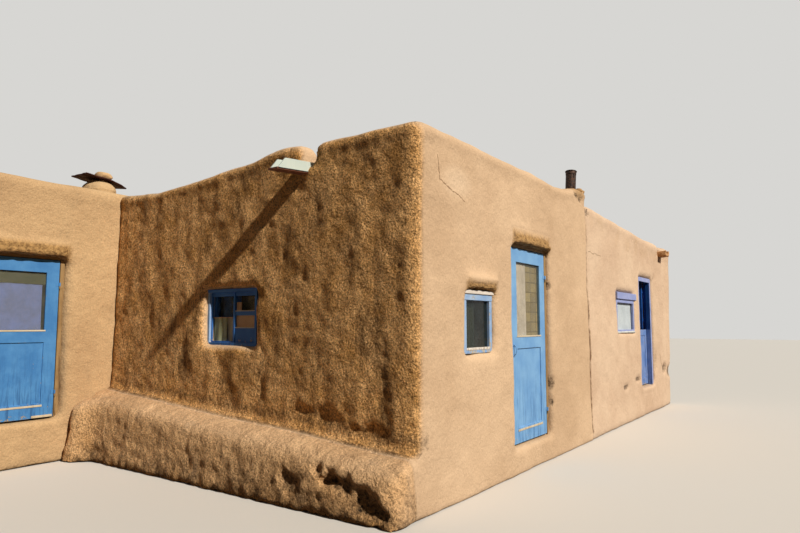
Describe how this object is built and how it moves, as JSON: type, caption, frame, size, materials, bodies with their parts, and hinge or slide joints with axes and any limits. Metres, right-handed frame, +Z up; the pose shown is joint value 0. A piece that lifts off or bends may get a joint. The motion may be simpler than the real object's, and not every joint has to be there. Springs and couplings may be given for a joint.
{
  "type": "adobe house",
  "caption": "Low adobe house of three flat-roofed ranges with mud plaster, blue doors and windows, a bench, roof spouts, a chimney stub and a stovepipe",
  "frame": {"origin": "on the ground, under the middle of the whole house", "axes": "+X along the sunny front to the right, +Y to the back, +Z up"},
  "size_m": [11.4, 8.2, 3.3704],
  "materials": {
    "adobe_plaster": "rough mud and straw plaster over adobe bricks",
    "packed_earth": "packed earth, on peeled logs in the roofs",
    "chimney_mud": "weathered mud plaster with small stones",
    "stone": "rough split stone",
    "canale_paint": "boards with old pale green paint",
    "stovepipe_steel": "sooty rusted sheet steel",
    "sky_blue_paint": "old sky blue paint, worn to bare wood at the foot",
    "deep_blue_paint": "old deep blue paint",
    "violet_blue_paint": "faded violet blue paint",
    "navy_paint": "dark blue paint",
    "pale_blue_paint": "chalky pale blue paint",
    "window_glass": "clear dusty glass"
  },
  "bodies": {
    "house": {"annex_back_wall": "adobe_plaster", "annex_canale": "chimney_mud", "annex_door_frame": "violet_blue_paint", "annex_end_wall": "adobe_plaster", "annex_floor": "packed_earth", "annex_front_wall_left": "adobe_plaster", "annex_front_wall_over_door": "adobe_plaster", "annex_front_wall_right": "adobe_plaster", "annex_roof": "packed_earth", "annex_window_frame": "violet_blue_paint", "annex_window_glass": "window_glass", "bench": "adobe_plaster", "chimney_cap": "stone", "chimney_flue": "chimney_mud", "chimney_stone": "stone", "front_wall_left": "adobe_plaster", "front_wall_over_door": "adobe_plaster", "front_wall_right": "adobe_plaster", "left_door_frame": "deep_blue_paint", "main_door_frame": "sky_blue_paint", "main_floor": "packed_earth", "main_roof": "packed_earth", "middle_wall": "adobe_plaster", "party_wall": "adobe_plaster", "rear_back_wall": "adobe_plaster", "rear_floor": "packed_earth", "rear_front_wall_left": "adobe_plaster", "rear_front_wall_over_door": "adobe_plaster", "rear_left_end_wall": "adobe_plaster", "rear_right_end_wall": "adobe_plaster", "rear_roof": "packed_earth", "side_canale": "canale_paint", "side_wall": "adobe_plaster", "side_window_frame": "deep_blue_paint", "side_window_glass": "window_glass", "small_window_frame": "pale_blue_paint", "small_window_glass": "window_glass", "stovepipe": "stovepipe_steel"},
    "main_leaf": {"main_door_leaf": "sky_blue_paint", "main_door_glass": "window_glass"},
    "left_leaf": {"left_door_leaf": "deep_blue_paint", "left_door_glass": "window_glass"},
    "split_lower_leaf": {"annex_lower_leaf": "violet_blue_paint"},
    "split_upper_leaf": {"annex_upper_leaf": "navy_paint"}
  },
  "joints": [
    {"name": "main_door_swing", "type": "hinge", "parent": "house", "child": "main_leaf", "pos_m": [-0.093, -3.75, 1.245], "axis": [0, 0, 1], "range_deg": [0, 90]},
    {"name": "left_door_swing", "type": "hinge", "parent": "house", "child": "left_leaf", "pos_m": [-3.268, 0.49, 1.3025], "axis": [0, 0, 1], "range_deg": [0, 90]},
    {"name": "split_door_lower_swing", "type": "hinge", "parent": "house", "child": "split_lower_leaf", "pos_m": [4.502, -3.64, 0.9025], "axis": [0, 0, 1], "range_deg": [-90, 0]},
    {"name": "split_door_upper_swing", "type": "hinge", "parent": "house", "child": "split_upper_leaf", "pos_m": [4.502, -3.64, 1.7615], "axis": [0, 0, 1], "range_deg": [0, 90]}
  ]
}
